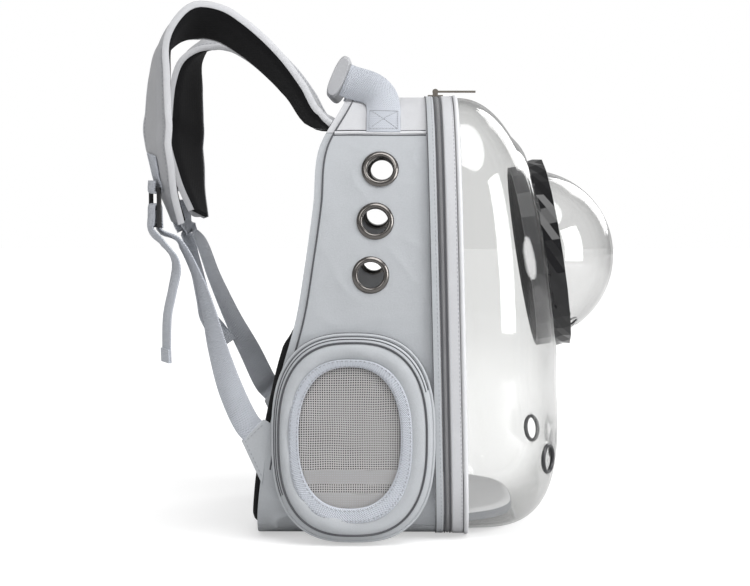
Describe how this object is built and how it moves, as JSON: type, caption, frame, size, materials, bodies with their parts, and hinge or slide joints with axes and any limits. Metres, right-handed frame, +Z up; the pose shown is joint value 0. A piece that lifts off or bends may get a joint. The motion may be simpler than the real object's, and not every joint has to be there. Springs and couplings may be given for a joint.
{
  "type": "bubble pet carrier backpack",
  "caption": "Soft-sided pet carrier worn on the back, with a clear bulged front lid, a clear dome window, side net windows, eyelets, a grab handle and padded shoulder straps.",
  "frame": {"origin": "middle of the flat base where it rests on the floor, below the middle of the case's width", "axes": "+Z up, -Y towards the clear front, +Y towards the wearer's back, -X to the wearer's left"},
  "size_m": [0.3232, 0.4598, 0.5051],
  "materials": {
    "case_cloth": "coated plain-weave polyester, cool light grey, matt",
    "pale_cloth": "the same cloth in a paler grey",
    "strap_cloth": "silvery grey polyester with a soft sheen",
    "webbing": "woven polyester webbing, pale blue grey",
    "piping": "smooth covered piping, off white",
    "black_mesh": "black air mesh",
    "netting": "square open netting, light grey",
    "zip_tape": "zip tape and coil, mid grey",
    "mat_cloth": "plush mat, off white with a grey border",
    "clear_plastic": "clear moulded sheet, glossy",
    "collar_plastic": "glossy black moulded plastic, diamond cut",
    "ring_plastic": "dark grey moulded plastic",
    "buckle_plastic": "black acetal",
    "eyelet_metal": "polished gunmetal plating",
    "pull_metal": "satin nickel plating"
  },
  "bodies": {
    "root": {"top_panel": "pale_cloth", "base_panel": "case_cloth", "back_panel": "case_cloth", "back_pad_lower": "black_mesh", "back_pad_upper": "black_mesh", "gusset": "case_cloth", "zip_track": "zip_tape", "lid_band": "pale_cloth", "lid_piping": "piping", "clear_front": "clear_plastic", "dome": "clear_plastic", "dome_collar": "collar_plastic", "handle_grip": "strap_cloth", "zip_slider": "pull_metal", "floor_mat": "mat_cloth", "vent_ring_left": "ring_plastic", "vent_ring_middle": "ring_plastic", "vent_ring_right": "ring_plastic", "side_panel_left": "case_cloth", "window_pocket_left": "case_cloth", "window_trim_left": "webbing", "window_net_left": "netting", "handle_leg_left": "webbing", "strap_left": "strap_cloth", "strap_lining_left": "black_mesh", "anchor_tab_left": "case_cloth", "webbing_left": "webbing", "buckle_left": "buckle_plastic", "buckle_loop_left": "webbing", "eyelet_upper_left": "eyelet_metal", "eyelet_middle_left": "eyelet_metal", "eyelet_lower_left": "eyelet_metal", "side_panel_right": "case_cloth", "window_pocket_right": "case_cloth", "window_trim_right": "webbing", "window_net_right": "netting", "handle_leg_right": "webbing", "strap_right": "strap_cloth", "strap_lining_right": "black_mesh", "anchor_tab_right": "case_cloth", "webbing_right": "webbing", "buckle_right": "buckle_plastic", "buckle_loop_right": "webbing", "eyelet_upper_right": "eyelet_metal", "eyelet_middle_right": "eyelet_metal", "eyelet_lower_right": "eyelet_metal"},
    "pull": {"zip_pull": "pull_metal"},
    "lock_ring": {"dome_lock_ring": "ring_plastic"}
  },
  "joints": [
    {"name": "pull_hinge", "type": "hinge", "parent": "root", "child": "pull", "pos_m": [0, -0.07138, 0.4257], "axis": [-1, 0, 0], "range_deg": [0, 165]},
    {"name": "lock_ring_turn", "type": "hinge", "parent": "root", "child": "lock_ring", "pos_m": [0, -0.1752, 0.2645], "axis": [0, -0.9877, 0.1564], "continuous": true}
  ]
}
